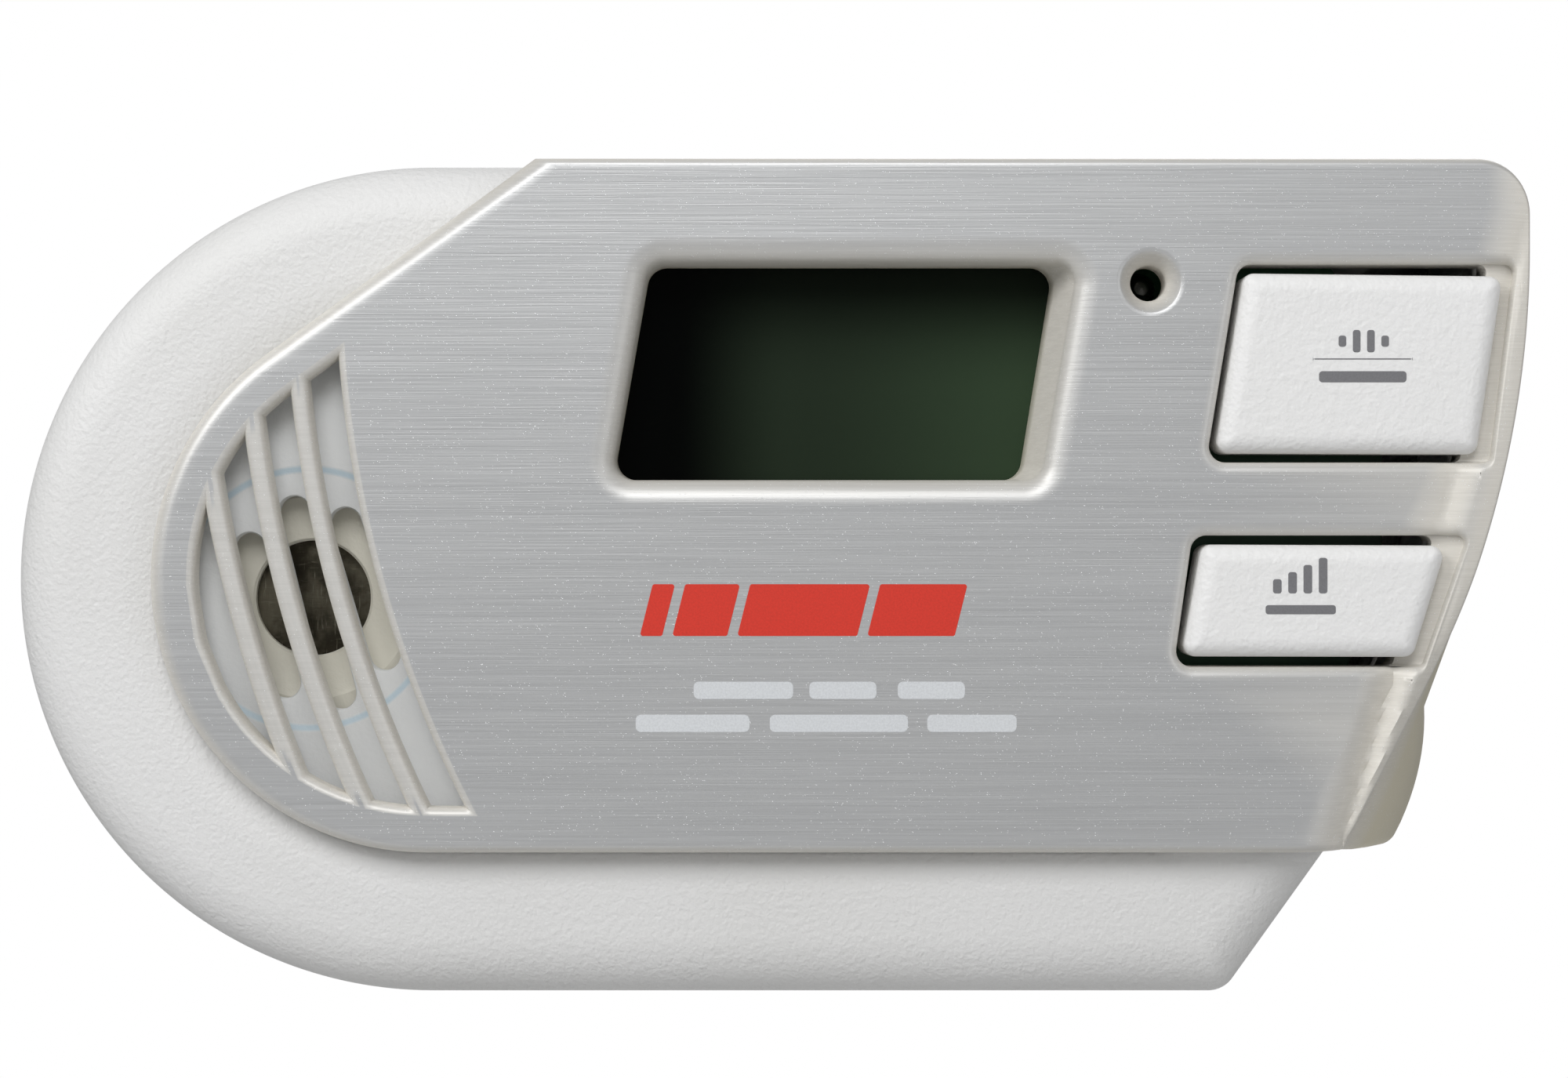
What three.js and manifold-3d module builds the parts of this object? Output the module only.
// Plug-in gas and carbon monoxide alarm. Millimetres.
// X runs along the alarm, Z is up, and the front faces -Y.
// The origin lies between the two plug blades, on the rear face that rests against the wall plate.
// Depths are counted from the front face: depth 0 is the face and depth BODY_DEPTH is the wall.
import * as THREE from 'three';
import { mergeVertices } from 'three/addons/utils/BufferGeometryUtils.js';
import Module from 'manifold-3d';

const wasm = await Module();
wasm.setup();

// ---------------------------------------------------------------- driving dimensions
const BODY_DEPTH = 44;
const TOP = 41.7;
const BOTTOM = -41.7;
const LEFT = -75.9;
const WALL = 2.2;
const GAP = 0.3;

const COVER_THICK = 2.2;
const COVER_LIP = 3.1;
const COVER_SKIRT = 17.7;
const DECK_FRONT = 3.4;
const DECK_BACK = 5.4;
const PARTING = 18;
const REAR_FRONT = 18.2;
const COLLAR_BACK = 5.5;
const WINDOW_COLLAR_BACK = 7.3;

const BOARD_FRONT = 13;
const BOARD_BACK = 14.6;

// Corner lists run counter-clockwise seen from the front: x, z, corner radius, steps round the corner.
const COVER_CORNERS = [
  [75.3, TOP, 5.5, 4],
  [-23.25, TOP, 0, 1],
  [-61.3, 14.06, 27.2, 10],
  [-61.3, -27, 27.2, 14],
  [57, -27, 1.5, 2],
  [65, -11.2, 3, 2],
  [75.3, 10.3, 99.3, 8],
];
const SKIRT_FRONT_CORNERS = [
  [75.3, TOP, 5.5, 4],
  [-23.2, TOP, 0, 1],
  [-23.2, -27, 0, 1],
  [57, -27, 1.5, 2],
  [61, -19.1, 0, 1],
  [65, -11.2, 3, 3],
  [75.3, 10.3, 99.3, 8],
];
const SKIRT_BACK_CORNERS = [
  [77.2, TOP, 5.5, 4],
  [-23.2, TOP, 0, 1],
  [-23.2, -27.6, 0, 1],
  [64.8, -27.6, 2, 2],
  [68.2, -18.5, 0, 1],
  [68.4, -13.5, 9, 3],
  [77.2, 10.3, 99.3, 8],
];
const SKIRT_HOLLOW_CORNERS = [
  [73.3, TOP - 2, 3.5, 3],
  [-40, TOP - 2, 0, 1],
  [-40, -50, 0, 1],
  [55.9, -50, 0, 1],
  [55.9, -24.8, 0, 1],
  [63.25, -10.3, 3, 2],
  [73.3, 10.3, 97.3, 8],
];
const RIM_CORNERS = [
  [0, TOP, 0, 1],
  [LEFT, TOP, 41.7, 14],
  [LEFT, BOTTOM, 41.7, 14],
  [45.9, BOTTOM, 3, 3],
  [57, -26.3, 0, 1],
  [0, -12, 0, 1],
];
const HOUSING_CORNERS = [
  [72.95, TOP - 2.35, 3.2, 3],
  [-23.6, TOP - 2.35, 0, 1],
  [-23.6, TOP, 0, 1],
  [LEFT, TOP, 41.7, 14],
  [LEFT, BOTTOM, 41.7, 14],
  [45.9, BOTTOM, 3, 3],
  [55.2, -28.78, 0, 1],
  [55.2, -25.4, 0, 1],
  [62.9, -10.2, 3, 2],
  [72.95, 10.3, 97, 8],
];
const REAR_CORNERS = [
  [77.2, TOP, 5.5, 4],
  [LEFT, TOP, 41.7, 14],
  [LEFT, BOTTOM, 41.7, 14],
  [45.9, BOTTOM, 3, 3],
  [56, -27.6, 0, 1],
  [64.8, -27.6, 2, 2],
  [68.2, -18.5, 0, 1],
  [68.4, -13.5, 9, 3],
  [77.2, 10.3, 99.3, 8],
];

// Display window: a parallelogram that leans to the right.
const WINDOW = { x: 7.35, z: 20.6, width: 42.5, height: 21.5, lean: 1.86, radius: 2 };
const DISPLAY = { x: 7.35, z: 20.6, width: 52, height: 30 };
const LED = { x: 37.5, z: 29.4, dish: 2.85, hole: 1.75, tube: 3.05 };

// Buttons: the corners of the cap, of its opening and of the ledge beside it, and the switch behind.
const BUTTONS = {
  test: {
    cap: [[72.4, 29.7, 1, 3], [46.8, 30.3, 1, 3], [43.9, 12.5, 1, 3], [69.8, 12.4, 1, 3]],
    opening: [[71, 31.2, 0.8, 2], [46.3, 31.2, 1.6, 3], [43.1, 11.6, 1.6, 3], [68.4, 11.6, 0.8, 2]],
    ledge: [[74.2, 31.9, 0.8, 2], [62, 31.9, 0, 1], [62, 11.2, 0, 1], [71.4, 11.2, 0.8, 2]],
    switchAt: [58.4, 21],
    rodTop: 35.1,
    rodBottom: 8.5,
    lugs: [27, 15],
  },
  peak: {
    cap: [[66.9, 3.4, 1, 3], [42.65, 3.5, 1, 3], [40.6, -7.55, 1, 3], [63.5, -7.6, 1, 3]],
    opening: [[65.9, 4.4, 0.8, 2], [41.75, 4.4, 1.6, 3], [39.9, -8.6, 1.6, 3], [61.9, -8.6, 0.8, 2]],
    ledge: [[69.6, 4.9, 0.8, 2], [56, 4.9, 0, 1], [56, -9, 0, 1], [64.7, -9, 0.8, 2]],
    switchAt: [53, -2],
    rodTop: 7.3,
    rodBottom: -12.9,
    lugs: [1.5, -5.5],
  },
};
const CAP_PROUD = 0.4;
const CAP_BACK = 6;
const LEDGE_DEPTH = 1.3;
const HINGE_DEPTH = 7;
const HINGE_SET_IN = 3.2;
const ROD_RADIUS = 0.8;
const PLUNGER_FRONT = 7.3;
const SWITCH_FRONT = 9.5;
const HINGE_SADDLES = [
  { x: 69.9, z: 34.3, width: 6, height: 2.4 },
  { x: 65.4, z: 8, width: 6.4, height: 3.4 },
  { x: 58.2, z: -12, width: 5.2, height: 2.4 },
];

// Vent slots: bands between circles round one centre, cut off by an outline inside the cover's edge.
const VENT = { x: 73.9, z: 30.8, inset: 4.6 };
const VENT_BANDS = [[116.8, 120], [121.8, 124.8], [126.8, 129.7], [131.7, 145]];
const BAFFLE_SLOTS = [
  [[-52.1, 3.1], [-48.6, -10.3]],
  [[-47.6, 6.75], [-43.05, -11.4]],
  [[-42.5, 5.6], [-38.6, -7.5]],
];
const BAFFLE_SLOT_WIDTH = 3.2;
const BAFFLE_FRONT = 4.5;
const HORN = { x: -46.2, z: -1.9, radius: 14.5, hole: 5.8, front: 6.3, back: 12.7 };

// Plug: two flat blades of unequal width, 12.7 between centres.
// Inside the case each blade is a thinner shank, with its shoulder just clear of the rear face.
const BLADE = {
  pitch: 12.7,
  thick: 1.5,
  line: 6.35,
  neutral: 7.94,
  out: 17,
  root: 37,
  shoulder: 0.25,
  shankLess: 0.2,
};
const PLUG = { width: 22, height: 16, front: 36 };

// Nine volt block battery lying along X, in a bay that opens at the rear.
const BATTERY = { left: -66.5, right: -20.1, height: 26.2, front: 23.2, back: 40.6 };
const BAY = { left: -67.3, right: -13, half: 14.4, front: 22.8, wall: 2.6 };
const DOOR = { left: -66.8, right: -13.2, half: 15.6, front: 41.7, back: 43.7 };
const DOOR_AXIS = { x: -66.8, depth: 42.3, radius: 1.4, pin: 0.8 };

const CASE_SCREWS = [[-60, 24.5], [-60, -24.5], [61.5, 36.1], [43, -33]];
const BOARD_SCREWS = [[-26, 31], [-22, -20], [34, -20]];

// ---------------------------------------------------------------- outlines and solids
const yAt = (depth) => depth - BODY_DEPTH;

// Rounds the corners of an outline, after moving its edges inwards by inset.
function rounded(corners, inset = 0) {
  const count = corners.length;
  const points = [];
  for (let i = 0; i < count; i++) {
    const [x, z, radius, steps] = corners[i];
    const [px, pz] = corners[(i + count - 1) % count];
    const [nx, nz] = corners[(i + 1) % count];
    const before = new THREE.Vector2(x - px, z - pz).normalize();
    const after = new THREE.Vector2(nx - x, nz - z).normalize();
    const turn = before.cross(after);
    const share = inset / (1 + before.dot(after));
    const cornerX = x - (before.y + after.y) * share;
    const cornerZ = z + (before.x + after.x) * share;
    if (radius === 0) {
      points.push(new THREE.Vector2(cornerX, cornerZ));
      continue;
    }
    const side = Math.sign(turn);
    const r = Math.max(radius - side * inset, 0.3);
    const angle = Math.acos(THREE.MathUtils.clamp(before.dot(after), -1, 1));
    const reach = r * Math.tan(angle / 2);
    const centreX = cornerX - before.x * reach - before.y * r * side;
    const centreZ = cornerZ - before.y * reach + before.x * r * side;
    const from = Math.atan2(cornerZ - before.y * reach - centreZ, cornerX - before.x * reach - centreX);
    for (let s = 0; s <= steps; s++) {
      const a = from + (side * angle * s) / steps;
      const point = new THREE.Vector2(centreX + r * Math.cos(a), centreZ + r * Math.sin(a));
      const last = points[points.length - 1];
      if (!last || last.distanceTo(point) > 1e-3) points.push(point);
    }
  }
  return points;
}

// The outline of a straight band from a to b, with flat ends, or round ones of the given steps.
function band(a, b, width, steps = 0) {
  const along = Math.atan2(b[1] - a[1], b[0] - a[0]);
  const half = width / 2;
  const points = [];
  for (const [[x, z], start] of [[b, along - Math.PI / 2], [a, along + Math.PI / 2]]) {
    const ends = Math.max(steps, 1);
    for (let s = 0; s <= ends; s++) {
      const angle = start + (Math.PI * s) / ends;
      points.push(new THREE.Vector2(x + half * Math.cos(angle), z + half * Math.sin(angle)));
    }
  }
  return points;
}

const rectangle = (x, z, width, height, radius = 0, steps = 1) => [
  [x + width / 2, z + height / 2, radius, steps],
  [x - width / 2, z + height / 2, radius, steps],
  [x - width / 2, z - height / 2, radius, steps],
  [x + width / 2, z - height / 2, radius, steps],
];

function solidOf(geometry) {
  geometry.deleteAttribute('normal');
  geometry.deleteAttribute('uv');
  const merged = mergeVertices(geometry, 1e-4);
  return new wasm.Manifold(new wasm.Mesh({
    numProp: 3,
    vertProperties: merged.attributes.position.array,
    triVerts: new Uint32Array(merged.index.array),
  }));
}

// Skins a stack of outlines that have the same number of points, from the front level to the back.
function loft(levels) {
  const count = levels[0][1].length;
  const position = [];
  const index = [];
  for (const [depth, points] of levels) {
    for (const p of points) position.push(p.x, yAt(depth), p.y);
  }
  for (let level = 0; level + 1 < levels.length; level++) {
    for (let i = 0; i < count; i++) {
      const f = level * count + i;
      const g = level * count + ((i + 1) % count);
      index.push(f, f + count, g, g, f + count, g + count);
    }
  }
  const cap = (points, start, flip) => {
    for (const [a, b, c] of THREE.ShapeUtils.triangulateShape(points, [])) {
      index.push(start + a, start + (flip ? c : b), start + (flip ? b : c));
    }
  };
  cap(levels[0][1], 0, false);
  cap(levels[levels.length - 1][1], (levels.length - 1) * count, true);
  const geometry = new THREE.BufferGeometry();
  geometry.setAttribute('position', new THREE.Float32BufferAttribute(position, 3));
  geometry.setIndex(index);
  return solidOf(geometry);
}

const prism = (points, front, back) => loft([[front, points], [back, points]]);
const block = (x0, x1, z0, z1, front, back) => solidOf(
  new THREE.BoxGeometry(x1 - x0, back - front, z1 - z0)
    .translate((x0 + x1) / 2, yAt((front + back) / 2), (z0 + z1) / 2),
);
const disc = (x, z, radius, front, back, sides = 24) => solidOf(
  new THREE.CylinderGeometry(radius, radius, back - front, sides)
    .translate(x, yAt((front + back) / 2), z),
);

// A round bar between two points given as x, depth, z.
function bar(from, to, radius, sides = 12) {
  const a = new THREE.Vector3(from[0], yAt(from[1]), from[2]);
  const b = new THREE.Vector3(to[0], yAt(to[1]), to[2]);
  const turn = new THREE.Quaternion();
  turn.setFromUnitVectors(new THREE.Vector3(0, 1, 0), b.clone().sub(a).normalize());
  const middle = a.clone().add(b).multiplyScalar(0.5);
  return solidOf(
    new THREE.CylinderGeometry(radius, radius, a.distanceTo(b), sides)
      .applyMatrix4(new THREE.Matrix4().makeRotationFromQuaternion(turn))
      .translate(middle.x, middle.y, middle.z),
  );
}

// A turned piece: the profile is radius and depth, from the axis at the front round to the axis at the back.
function turned(x, z, profile, sides = 24) {
  const points = profile.map(([radius, depth]) => new THREE.Vector2(radius, yAt(depth)));
  return solidOf(new THREE.LatheGeometry(points, sides).translate(x, 0, z));
}

const join = (first, ...rest) => rest.reduce((whole, piece) => whole.add(piece), first);
const cut = (first, ...rest) => rest.reduce((whole, piece) => whole.subtract(piece), first);

// ---------------------------------------------------------------- finishes
function finish(color, roughness, metalness = 0) {
  return new THREE.MeshStandardMaterial({ color, roughness, metalness });
}
const WHITE_PLASTIC = finish('#d6d5d2', 0.55);
const BUTTON_PLASTIC = finish('#dededd', 0.5);
const PEARL_PLASTIC = finish('#adb0b2', 0.35, 0.3);
const CREAM_PLASTIC = finish('#cfc9b6', 0.6);
const BLACK_PLASTIC = finish('#1b1c1d', 0.5);
const GREY_PLASTIC = finish('#8a8c8e', 0.55);
const DARK_GLASS = finish('#141a15', 0.12);
const CLEAR_GLASS = finish('#28302a', 0.1);
const BOARD_GREEN = finish('#1f5a35', 0.45);
const STEEL = finish('#9a9b9c', 0.35, 0.9);
const NICKEL = finish('#5c5644', 0.4, 0.85);
const BRASS = finish('#c3a55a', 0.35, 0.9);
const COPPER = finish('#a8623a', 0.4, 0.8);
const FERRITE = finish('#3c3e41', 0.6, 0.3);
const RUBBER = finish('#2c2d30', 0.8);
const RED_SLEEVE = finish('#a3221c', 0.5);
const BLUE_SLEEVE = finish('#26447c', 0.5);
const LABEL_FILM = finish('#c9cbcc', 0.4);

const alarm = new THREE.Group();

function piece(name, solid, material) {
  const { numProp, vertProperties, triVerts } = solid.getMesh();
  const vertices = new Float32Array((vertProperties.length / numProp) * 3);
  for (let i = 0; i < vertices.length / 3; i++) {
    vertices.set(vertProperties.subarray(i * numProp, i * numProp + 3), i * 3);
  }
  const geometry = new THREE.BufferGeometry();
  geometry.setAttribute('position', new THREE.BufferAttribute(vertices, 3));
  geometry.setIndex(new THREE.BufferAttribute(triVerts, 1));
  const mesh = new THREE.Mesh(geometry, material);
  mesh.name = name;
  alarm.add(mesh);
}

// ---------------------------------------------------------------- shapes that two pieces share
function windowCorners(grow = 0) {
  const halfWidth = WINDOW.width / 2 + grow;
  const halfHeight = WINDOW.height / 2 + grow;
  const lean = WINDOW.lean;
  const radius = WINDOW.radius + grow;
  return [
    [WINDOW.x + halfWidth + lean, WINDOW.z + halfHeight, radius, 4],
    [WINDOW.x - halfWidth + lean, WINDOW.z + halfHeight, radius, 4],
    [WINDOW.x - halfWidth - lean, WINDOW.z - halfHeight, radius, 4],
    [WINDOW.x + halfWidth - lean, WINDOW.z - halfHeight, radius, 4],
  ];
}

// The hinge line of a button lies inside its right edge. Gives x on that line at height z.
function hingeX(button, z) {
  const [topX, topZ] = button.cap[0];
  const [bottomX, bottomZ] = button.cap[3];
  return bottomX - HINGE_SET_IN + ((topX - bottomX) * (z - bottomZ)) / (topZ - bottomZ);
}

// ---------------------------------------------------------------- front cover
function frontCover() {
  const edge = (inset) => rounded(COVER_CORNERS, inset);
  let cover = loft([[0, edge(1.6)], [0.6, edge(0.5)], [1.6, edge(0.05)], [COVER_LIP, edge(0)]]);
  cover = cut(cover, prism(edge(1.8), COVER_THICK, COVER_LIP + 1));
  const skirt = loft([
    [1.6, rounded(SKIRT_FRONT_CORNERS, 0.05)],
    [3, rounded(SKIRT_FRONT_CORNERS)],
    [COVER_SKIRT, rounded(SKIRT_BACK_CORNERS)],
  ]);
  const hollow = prism(rounded(SKIRT_HOLLOW_CORNERS), 1, PARTING + 2);
  cover = join(cover, cut(skirt, hollow));

  cover = join(
    cover,
    prism(rounded(windowCorners(1.5)), 1, WINDOW_COLLAR_BACK),
    disc(LED.x, LED.z, LED.tube, 1, COLLAR_BACK),
  );
  for (const button of Object.values(BUTTONS)) {
    cover = join(cover, prism(rounded(button.opening, -1.4), 1, COLLAR_BACK));
  }
  cover = cut(
    cover,
    loft([
      [-1, rounded(windowCorners(2.4))],
      [0, rounded(windowCorners(2))],
      [1, rounded(windowCorners(0.5))],
      [2.5, rounded(windowCorners())],
      [WINDOW_COLLAR_BACK + 1, rounded(windowCorners())],
    ]),
    disc(LED.x, LED.z, LED.hole, -1, COLLAR_BACK + 1, 16),
    turned(LED.x, LED.z, [[0, -1], [LED.dish + 0.6, -1], [LED.dish, 0], [LED.hole, 1.8], [0, 1.8]]),
  );
  for (const button of Object.values(BUTTONS)) {
    const opening = (grow) => rounded(button.opening, -grow);
    const mouth = [[-1, opening(1.2)], [0, opening(1)], [1.2, opening(0)], [COLLAR_BACK + 1, opening(0)]];
    cover = cut(cover, loft(mouth), prism(rounded(button.ledge), -1, LEDGE_DEPTH));
  }

  const ventField = prism(rounded(COVER_CORNERS, VENT.inset), -1, COVER_LIP + 1);
  for (const [inner, outer] of VENT_BANDS) {
    const ring = cut(
      disc(VENT.x, VENT.z, outer, -2, COVER_LIP + 2, 180),
      disc(VENT.x, VENT.z, inner, -3, COVER_LIP + 3, 180),
    );
    cover = cut(cover, ring.intersect(ventField));
  }
  return cover;
}

// ---------------------------------------------------------------- front housing
function frontHousing() {
  const rim = (inset) => rounded(RIM_CORNERS, inset);
  const outline = rounded(HOUSING_CORNERS);
  let housing = loft([
    [DECK_FRONT, rim(5.6)],
    [4.1, rim(3)],
    [5.8, rim(1)],
    [8.6, rim(0)],
    [PARTING, rim(0)],
  ]);
  housing = join(housing, prism(rounded(HOUSING_CORNERS, 5.6), DECK_FRONT, PARTING));
  housing = join(housing, block(-23, 60, -12, TOP - 3, DECK_FRONT, PARTING));
  housing = join(housing, prism(outline, 8.6, PARTING));
  housing = housing.intersect(prism(outline, 0, PARTING));
  housing = cut(housing, prism(rounded(HOUSING_CORNERS, WALL), DECK_BACK, PARTING + 1));

  housing = cut(housing, prism(rounded(windowCorners(2)), 0, DECK_BACK + 1));
  housing = cut(housing, disc(LED.x, LED.z, LED.tube + GAP, 0, DECK_BACK + 1));
  for (const button of Object.values(BUTTONS)) {
    housing = cut(housing, prism(rounded(button.opening, -1.8), 0, DECK_BACK + 1));
  }
  for (const saddle of HINGE_SADDLES) {
    const { x, z, width, height } = saddle;
    const post = block(x - width / 2, x + width / 2, z - height / 2, z + height / 2, DECK_BACK - 1, 9);
    housing = join(housing, post);
  }
  for (const button of Object.values(BUTTONS)) {
    const top = [hingeX(button, button.rodTop + 0.4), button.rodTop + 0.4];
    const bottom = [hingeX(button, button.rodBottom - 0.4), button.rodBottom - 0.4];
    const groove = band(top, bottom, 2 * ROD_RADIUS + 0.6);
    housing = cut(housing, prism(groove, HINGE_DEPTH - ROD_RADIUS - 0.3, 10));
  }

  const recess = prism(rounded(COVER_CORNERS, 3), 0, BAFFLE_FRONT);
  housing = cut(housing, recess.intersect(disc(HORN.x, HORN.z, 24, 0, BAFFLE_FRONT, 36)));
  for (const [a, b] of BAFFLE_SLOTS) {
    housing = cut(housing, prism(band(a, b, BAFFLE_SLOT_WIDTH, 6), 0, DECK_BACK + 1));
  }
  for (const [x, z] of CASE_SCREWS) {
    housing = join(housing, disc(x, z, 3.2, DECK_BACK - 1, PARTING));
    housing = cut(housing, disc(x, z, 1.7, 7, PARTING + 1, 16));
  }
  for (const [x, z] of BOARD_SCREWS) {
    housing = join(housing, disc(x, z, 2.6, DECK_BACK - 1, BOARD_FRONT - 0.1));
    housing = cut(housing, disc(x, z, 1.3, 7, BOARD_FRONT + 1, 12));
  }
  return housing;
}

// ---------------------------------------------------------------- buttons and their switches
function buttonCap(button) {
  const edge = (inset) => rounded(button.cap, inset);
  const levels = [
    [-CAP_PROUD, edge(1.9)],
    [-0.1, edge(0.9)],
    [0.6, edge(0.25)],
    [1.4, edge(0)],
    [CAP_BACK, edge(0)],
  ];
  let cap = loft(levels);
  cap = cut(cap, prism(rounded(button.cap, 1.5), 1.2, CAP_BACK + 1));
  // Past the opening's right side the cap is a thin lip over the ledge.
  const [topX, topZ] = button.opening[0];
  const [bottomX, bottomZ] = button.opening[3];
  const lip = [[topX - 0.6, topZ, 0, 1], [bottomX - 0.6, bottomZ, 0, 1],
    [bottomX + 9, bottomZ, 0, 1], [topX + 9, topZ, 0, 1]];
  cap = cut(cap, prism(rounded(lip), 1, CAP_BACK + 1));

  const [x, z] = button.switchAt;
  cap = join(cap, disc(x, z, 1.6, 0.6, PLUNGER_FRONT - GAP, 12));
  const rod = bar(
    [hingeX(button, button.rodTop), HINGE_DEPTH, button.rodTop],
    [hingeX(button, button.rodBottom), HINGE_DEPTH, button.rodBottom],
    ROD_RADIUS,
  );
  cap = join(cap, rod);
  for (const lugZ of button.lugs) {
    const lugX = hingeX(button, lugZ);
    cap = join(cap, block(lugX - 1.2, lugX + 1.2, lugZ - 1, lugZ + 1, 0.8, HINGE_DEPTH + 0.5));
  }
  return cap;
}

function switchBody([x, z]) {
  const body = block(x - 3, x + 3, z - 3, z + 3, SWITCH_FRONT, BOARD_FRONT - 0.05);
  return cut(body, disc(x, z, 1.9, SWITCH_FRONT - 1, 12));
}

const switchPlunger = ([x, z]) => disc(x, z, 1.65, PLUNGER_FRONT, 11.2, 20);

// ---------------------------------------------------------------- display
function displayStack() {
  const { x, z, width, height } = DISPLAY;
  const sheet = (less, front, back, radius = 0.6) => prism(
    rounded(rectangle(x, z, width - less, height - less, radius, 2)), front, back,
  );
  piece('lcd_polariser', sheet(2, 7.65, 7.95), DARK_GLASS);
  piece('lcd_glass', sheet(0, 8, 10.3), CLEAR_GLASS);
  const frame = cut(sheet(-2.6, 7.7, BOARD_FRONT - 0.1, 1.5), sheet(-0.6, 7, BOARD_FRONT + 1));
  piece('lcd_frame', frame, BLACK_PLASTIC);
  piece('lcd_backlight', sheet(9, 10.5, 12.6), LABEL_FILM);
  for (const [name, side] of [['lcd_contact_strip_upper', 1], ['lcd_contact_strip_lower', -1]]) {
    const stripZ = z + side * (height / 2 - 2);
    piece(name, block(x - 23, x + 23, stripZ - 1.1, stripZ + 1.1, 10.4, 12.9), RUBBER);
  }
  const led = turned(LED.x, LED.z, [[0, 7], [0.75, 7.2], [1.3, 7.75], [1.5, 8.5], [1.5, 12], [1.9, 12],
    [1.9, BOARD_FRONT - 0.05], [0, BOARD_FRONT - 0.05]], 20);
  piece('status_led', led, CLEAR_GLASS);
}

// ---------------------------------------------------------------- horn
function horn() {
  const { x, z, radius, hole, front, back } = HORN;
  const bell = [
    [0, front + 1.2],
    [hole + 2, front + 1.2],
    [hole + 2, front - 0.5],
    [radius - 3, front - 0.5],
    [radius, front + 1.2],
    [radius, back],
    [0, back],
  ];
  const body = cut(
    turned(x, z, bell, 40),
    disc(x, z, hole, 0, back + 1, 36),
    disc(x, z, radius - 1.5, front + 2.4, back + 1, 40),
  );
  piece('horn_body', body, CREAM_PLASTIC);
  piece('horn_disc', disc(x, z, radius - 1.8, front + 2.7, front + 3.1, 40), NICKEL);
  const retainer = cut(
    disc(x, z, radius - 1.8, front + 3.3, back, 40),
    disc(x, z, radius - 4, front + 1, back + 1, 32),
  );
  piece('horn_retainer', retainer, CREAM_PLASTIC);
}

// ---------------------------------------------------------------- circuit board and what stands on it
function board() {
  const corners = [[55, 36, 1, 2], [-30, 36, 2, 2], [-60, 17.5, 2, 2], [-60, -18, 2, 2],
    [-52.5, -24, 2, 2], [51.5, -24, 2, 2], [59.5, -9, 2, 2], [63, 3, 2, 2], [63, 24, 1, 2]];
  let plate = prism(rounded(corners), BOARD_FRONT, BOARD_BACK);
  for (const [x, z] of BOARD_SCREWS) {
    plate = cut(plate, disc(x, z, 1.6, BOARD_FRONT - 1, BOARD_BACK + 1, 16));
  }
  piece('main_board', plate, BOARD_GREEN);
  piece('microcontroller', block(-6, 6, -20, -8, BOARD_FRONT - 1.6, BOARD_FRONT - 0.05), BLACK_PLASTIC);
  const seat = BOARD_BACK + 0.05;
  const standing = (profile) => profile.map(([radius, height]) => [radius, seat + height]);
  const gasCell = standing([[0, 0], [9.8, 0], [9.8, 14], [9, 15], [5, 15], [5, 17], [0, 17]]);
  piece('co_sensor', turned(44, -9, gasCell, 32), GREY_PLASTIC);
  const heatedSensor = standing([[0, 0], [4.6, 0], [4.6, 1], [4.1, 1.2], [4.1, 6], [3.6, 6.8], [0, 6.8]]);
  piece('gas_sensor', turned(58, 8, heatedSensor), STEEL);
  const bobbin = join(
    block(1.5, 26.5, 13, 35, seat, seat + 2),
    block(6, 22, 16, 32, seat, seat + 20),
    block(1.5, 26.5, 13, 35, seat + 18, seat + 20),
  );
  piece('transformer_bobbin', bobbin, BLACK_PLASTIC);
  const winding = cut(
    block(3, 25, 14, 34, seat + 2.2, seat + 17.8),
    block(5.8, 22.2, 15.8, 32.2, seat, seat + 20),
  );
  piece('transformer_winding', winding, COPPER);
  const core = cut(
    block(-4, 32, 19, 29, seat + 0.5, seat + 19.5),
    block(1, 27, 18, 30, seat - 1, seat + 21),
  );
  const yoke = block(-4, 32, 19, 29, seat + 20.3, seat + 24);
  piece('transformer_core', join(core, yoke, block(-4, 1, 19, 29, seat + 19, seat + 21),
    block(27, 32, 19, 29, seat + 19, seat + 21)), FERRITE);
  const can = (x, z, radius, height) => {
    const beaded = [[0, 0], [radius, 0], [radius, 1.2], [radius - 0.4, 1.6], [radius, 2]];
    const crown = [[radius, height - 0.5], [radius - 0.5, height], [0, height]];
    return turned(x, z, standing([...beaded, ...crown]), 20);
  };
  piece('capacitor_large', can(43, 20, 6.5, 20), BLUE_SLEEVE);
  piece('capacitor_small', can(56, 22, 4, 12), BLUE_SLEEVE);
  piece('voltage_regulator', join(
    block(28, 38.5, 7, 11.5, seat + 3, seat + 13),
    block(28, 38.5, 7, 8.4, seat + 13, seat + 20),
    block(32.4, 33.4, 8.5, 9.3, seat, seat + 3),
  ), BLACK_PLASTIC);
  piece('line_fuse', bar([-8, seat + 3, -20], [12, seat + 3, -20], 2.6, 16), CLEAR_GLASS);
  piece('surge_varistor', join(
    bar([22, seat + 9, -20.5], [22, seat + 9, -16], 6, 20),
    block(21, 23, -19, -17.5, seat, seat + 5),
  ), COPPER);
}

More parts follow.
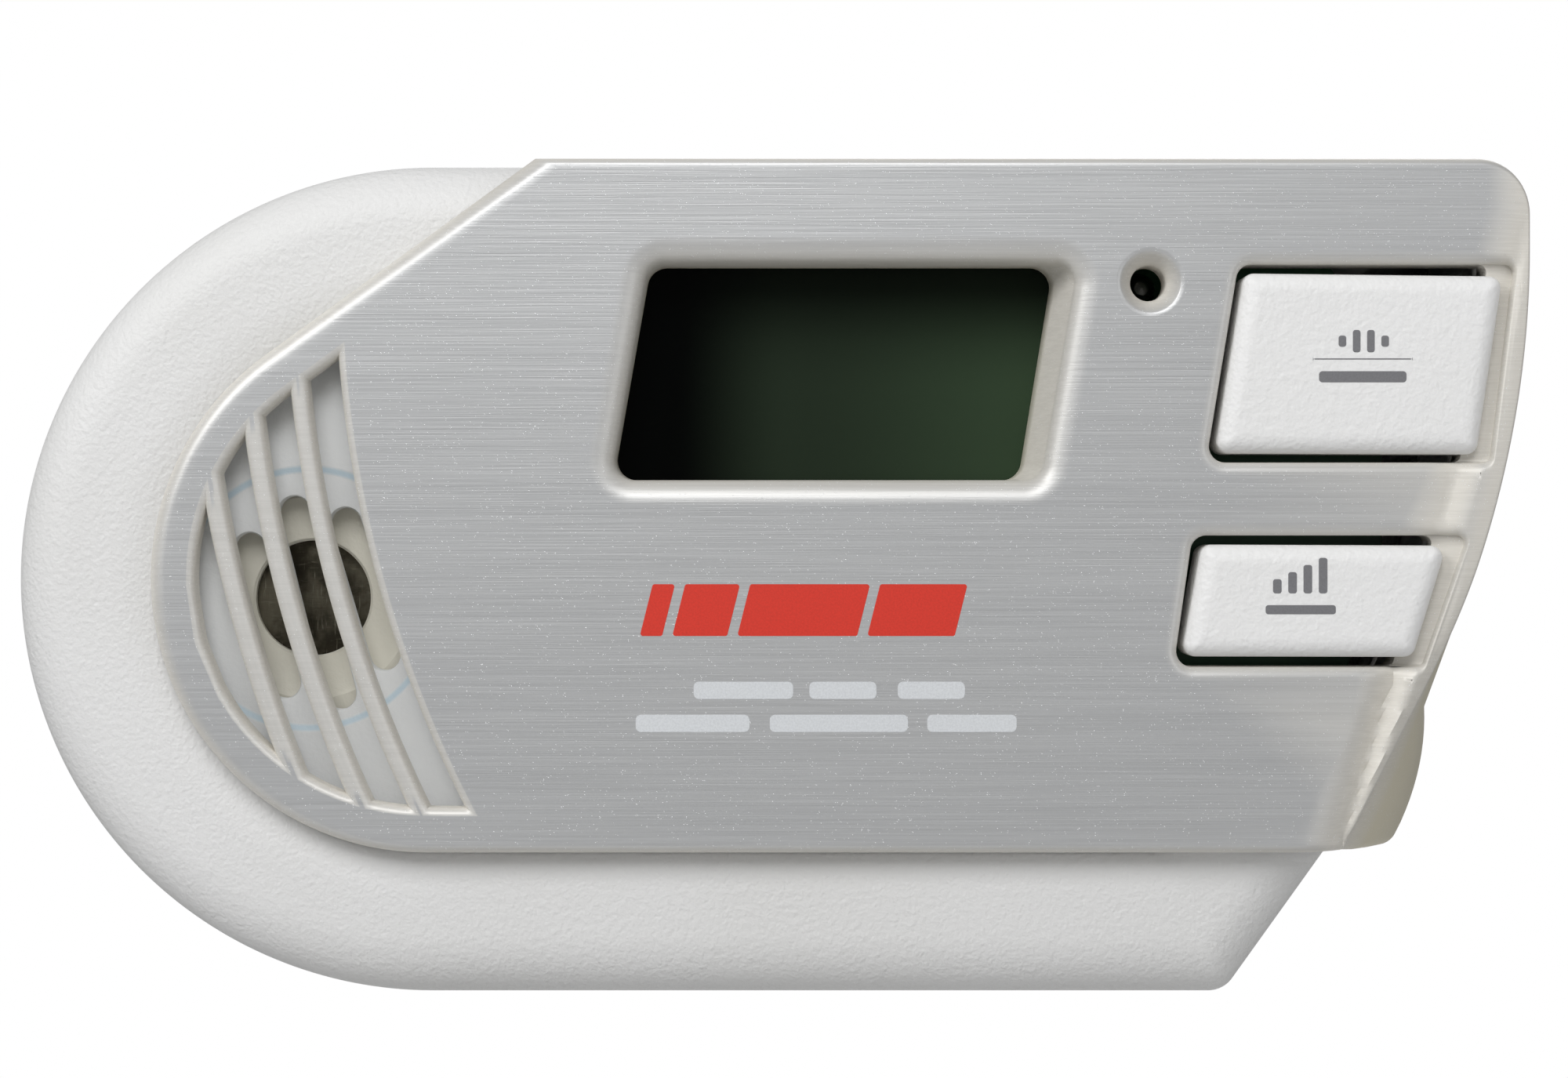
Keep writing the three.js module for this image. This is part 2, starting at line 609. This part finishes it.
// ---------------------------------------------------------------- rear housing, plug and battery
function rearHousing() {
  const outside = (inset) => rounded(REAR_CORNERS, inset);
  let shell = loft([
    [REAR_FRONT, outside(0)],
    [40, outside(0.7)],
    [42.8, outside(1.6)],
    [BODY_DEPTH, outside(3.2)],
  ]);
  const hollow = loft([[REAR_FRONT - 1, outside(WALL)], [BODY_DEPTH - 2.4, outside(WALL + 1.2)]]);
  shell = cut(shell, hollow);

  const { left, right, half, front, wall } = BAY;
  const bay = block(left - 1, right + wall, -half - wall, half + wall, front - 1.5, BODY_DEPTH - 0.01);
  shell = join(shell, bay);
  for (const side of [-1, 1]) {
    const z = side * (half + wall + 0.9);
    shell = join(shell, block(left - 1, left + 3.5, z - 1.2, z + 1.2, 39, BODY_DEPTH - 0.01));
  }
  shell = cut(
    shell,
    block(left, right, -half, half, front, BODY_DEPTH + 1),
    block(left - 1.3, right + 0.4, -DOOR.half - 0.5, DOOR.half + 0.5, 41.4, BODY_DEPTH + 1),
    block(left - 1.3, left + 2, -DOOR.half - 0.5, DOOR.half + 0.5, 40.4, BODY_DEPTH + 1),
    bar([DOOR_AXIS.x, DOOR_AXIS.depth, -17.7], [DOOR_AXIS.x, DOOR_AXIS.depth, 17.7], DOOR_AXIS.pin + 0.25),
  );

  const aroundPlug = (grow, radius) => rectangle(0, 0, PLUG.width + grow, PLUG.height + grow, radius, 3);
  shell = join(shell, prism(rounded(aroundPlug(4, 0.5)), PLUG.front + 1, BODY_DEPTH - 0.01));
  shell = cut(shell, prism(rounded(aroundPlug(0.4, 2.2)), PLUG.front - 1, BODY_DEPTH + 1));

  for (const [x, z] of CASE_SCREWS) {
    shell = join(shell, disc(x, z, 4.7, REAR_FRONT, BODY_DEPTH - 1));
    const shank = disc(x, z, 1.8, REAR_FRONT - 1, BODY_DEPTH, 16);
    shell = cut(shell, shank, disc(x, z, 3.2, 27.5, BODY_DEPTH + 1));
  }
  for (let i = 0; i < 6; i++) {
    const x = 36 + i * 4.5;
    shell = cut(shell, block(x - 1, x + 1, TOP - 6, TOP + 2, 23, 36));
  }
  for (let i = 0; i < 5; i++) {
    const x = 10 + i * 4.5;
    shell = cut(shell, block(x - 1, x + 1, BOTTOM - 2, BOTTOM + 6, 23, 36));
  }
  return cut(shell, prism(rounded(rectangle(42, 8, 44, 26, 1.5, 3)), BODY_DEPTH - 0.5, BODY_DEPTH + 1));
}

function plug() {
  const slot = (x, height) => {
    const reach = height / 2 + 0.15;
    return block(x - 0.9, x + 0.9, -reach, reach, 30, BODY_DEPTH + 1);
  };
  const half = BLADE.pitch / 2;
  const insert = cut(
    prism(rounded(rectangle(0, 0, PLUG.width, PLUG.height, 2, 3)), PLUG.front, BODY_DEPTH),
    slot(half, BLADE.line),
    slot(-half, BLADE.neutral),
  );
  piece('plug_insert', insert, BLACK_PLASTIC);
  const blades = [['blade_line', half, BLADE.line], ['blade_neutral', -half, BLADE.neutral]];
  for (const [name, x, height] of blades) {
    const tip = BODY_DEPTH + BLADE.out;
    const shoulder = BODY_DEPTH + BLADE.shoulder;
    const flat = (less) => rounded(rectangle(x, 0, BLADE.thick - less, height - less));
    const blade = join(
      prism(flat(BLADE.shankLess), BLADE.root - 4, shoulder + 0.2),
      loft([[shoulder, flat(0)], [tip - 1.4, flat(0)], [tip, flat(0.9)]]),
    );
    piece(name, cut(blade, bar([x - 2, tip - 4.7, 0], [x + 2, tip - 4.7, 0], 1.5, 16)), BRASS);
  }
  for (const [name, side] of [['line_contact', 1], ['neutral_contact', -1]]) {
    const x = side * half;
    const inner = x + side * (BLADE.thick / 2 + 0.15);
    const [low, high] = side > 0 ? [inner, inner + 0.8] : [inner - 0.8, inner];
    const strap = join(
      block(low, high, -2.5, 2.5, 20, 35.5),
      block(low, high, -6, -2, BOARD_BACK + 0.05, 21),
    );
    piece(name, strap, BRASS);
  }
}

function battery() {
  const { left, right, height, front, back } = BATTERY;
  const middle = (front + back) / 2;
  const cell = join(
    block(left, right, -height / 2 + 1, height / 2 - 1, front, back),
    block(left, right, -height / 2, height / 2, front + 1, back - 1),
    bar([right - 1, middle, 6.4], [right + 2.2, middle, 6.4], 2.9, 16),
    bar([right - 1, middle, -6.4], [right + 2.2, middle, -6.4], 4, 6),
  );
  piece('battery_9v', cell, BLACK_PLASTIC);
  const contactLeft = right + 2.4;
  const snaps = [['battery_snap_positive', 6.4, 4.4], ['battery_snap_negative', -6.4, 3.4]];
  for (const [name, z, radius] of snaps) {
    piece(name, bar([contactLeft, middle, z], [contactLeft + 2.2, middle, z], radius, 16), STEEL);
  }
  const terminal = block(contactLeft + 2.3, contactLeft + 4.3, -13, 13, front, back - 1.5);
  piece('battery_terminal_block', terminal, BLACK_PLASTIC);
}

function batteryDoor() {
  const { left, right, half, front, back } = DOOR;
  const { x, depth, radius, pin } = DOOR_AXIS;
  const door = join(
    block(left, right, -half, half, front, back),
    bar([x, depth, -half], [x, depth, half], radius, 16),
    bar([x, depth, -half - 1.8], [x, depth, half + 1.8], pin, 12),
  );
  // A finger scoop by the free edge.
  return cut(door, prism(band([right - 4, -5], [right - 4, 5], 3.4, 5), back - 0.9, back + 1));
}

// A cross-head screw. The tip is towards the front and the head towards the rear.
function screw(x, z, radius, head, tip, headFront, headBack) {
  const body = turned(x, z, [[0, tip], [radius * 0.3, tip], [radius, tip + 1.5], [radius, headFront],
    [head, headFront], [head, headBack - 0.5], [head - 0.5, headBack], [0, headBack]], 16);
  const slotHalf = head * 0.6;
  return cut(
    body,
    block(x - slotHalf, x + slotHalf, z - 0.35, z + 0.35, headBack - 1, headBack + 1),
    block(x - 0.35, x + 0.35, z - slotHalf, z + slotHalf, headBack - 1, headBack + 1),
  );
}

// ---------------------------------------------------------------- assembly
piece('front_cover', frontCover(), PEARL_PLASTIC);
piece('front_housing', frontHousing(), WHITE_PLASTIC);
for (const [name, button] of Object.entries(BUTTONS)) {
  piece(`${name}_button`, buttonCap(button), BUTTON_PLASTIC);
  piece(`${name}_switch_body`, switchBody(button.switchAt), BLACK_PLASTIC);
  piece(`${name}_switch_plunger`, switchPlunger(button.switchAt), GREY_PLASTIC);
}
displayStack();
horn();
board();
piece('rear_housing', rearHousing(), WHITE_PLASTIC);
plug();
battery();
piece('battery_door', batteryDoor(), WHITE_PLASTIC);
const ratingPlate = rounded(rectangle(42, 8, 43.2, 25.2, 1.2, 3));
piece('rating_plate', prism(ratingPlate, BODY_DEPTH - 0.45, BODY_DEPTH - 0.1), LABEL_FILM);
CASE_SCREWS.forEach(([x, z], i) => {
  piece(`case_screw_${i + 1}`, screw(x, z, 1.4, 2.7, 9, 27.6, 29.8), STEEL);
});
BOARD_SCREWS.forEach(([x, z], i) => {
  piece(`board_screw_${i + 1}`, screw(x, z, 1.05, 2.3, 8, BOARD_BACK + 0.1, 16.4), STEEL);
});

export default alarm;
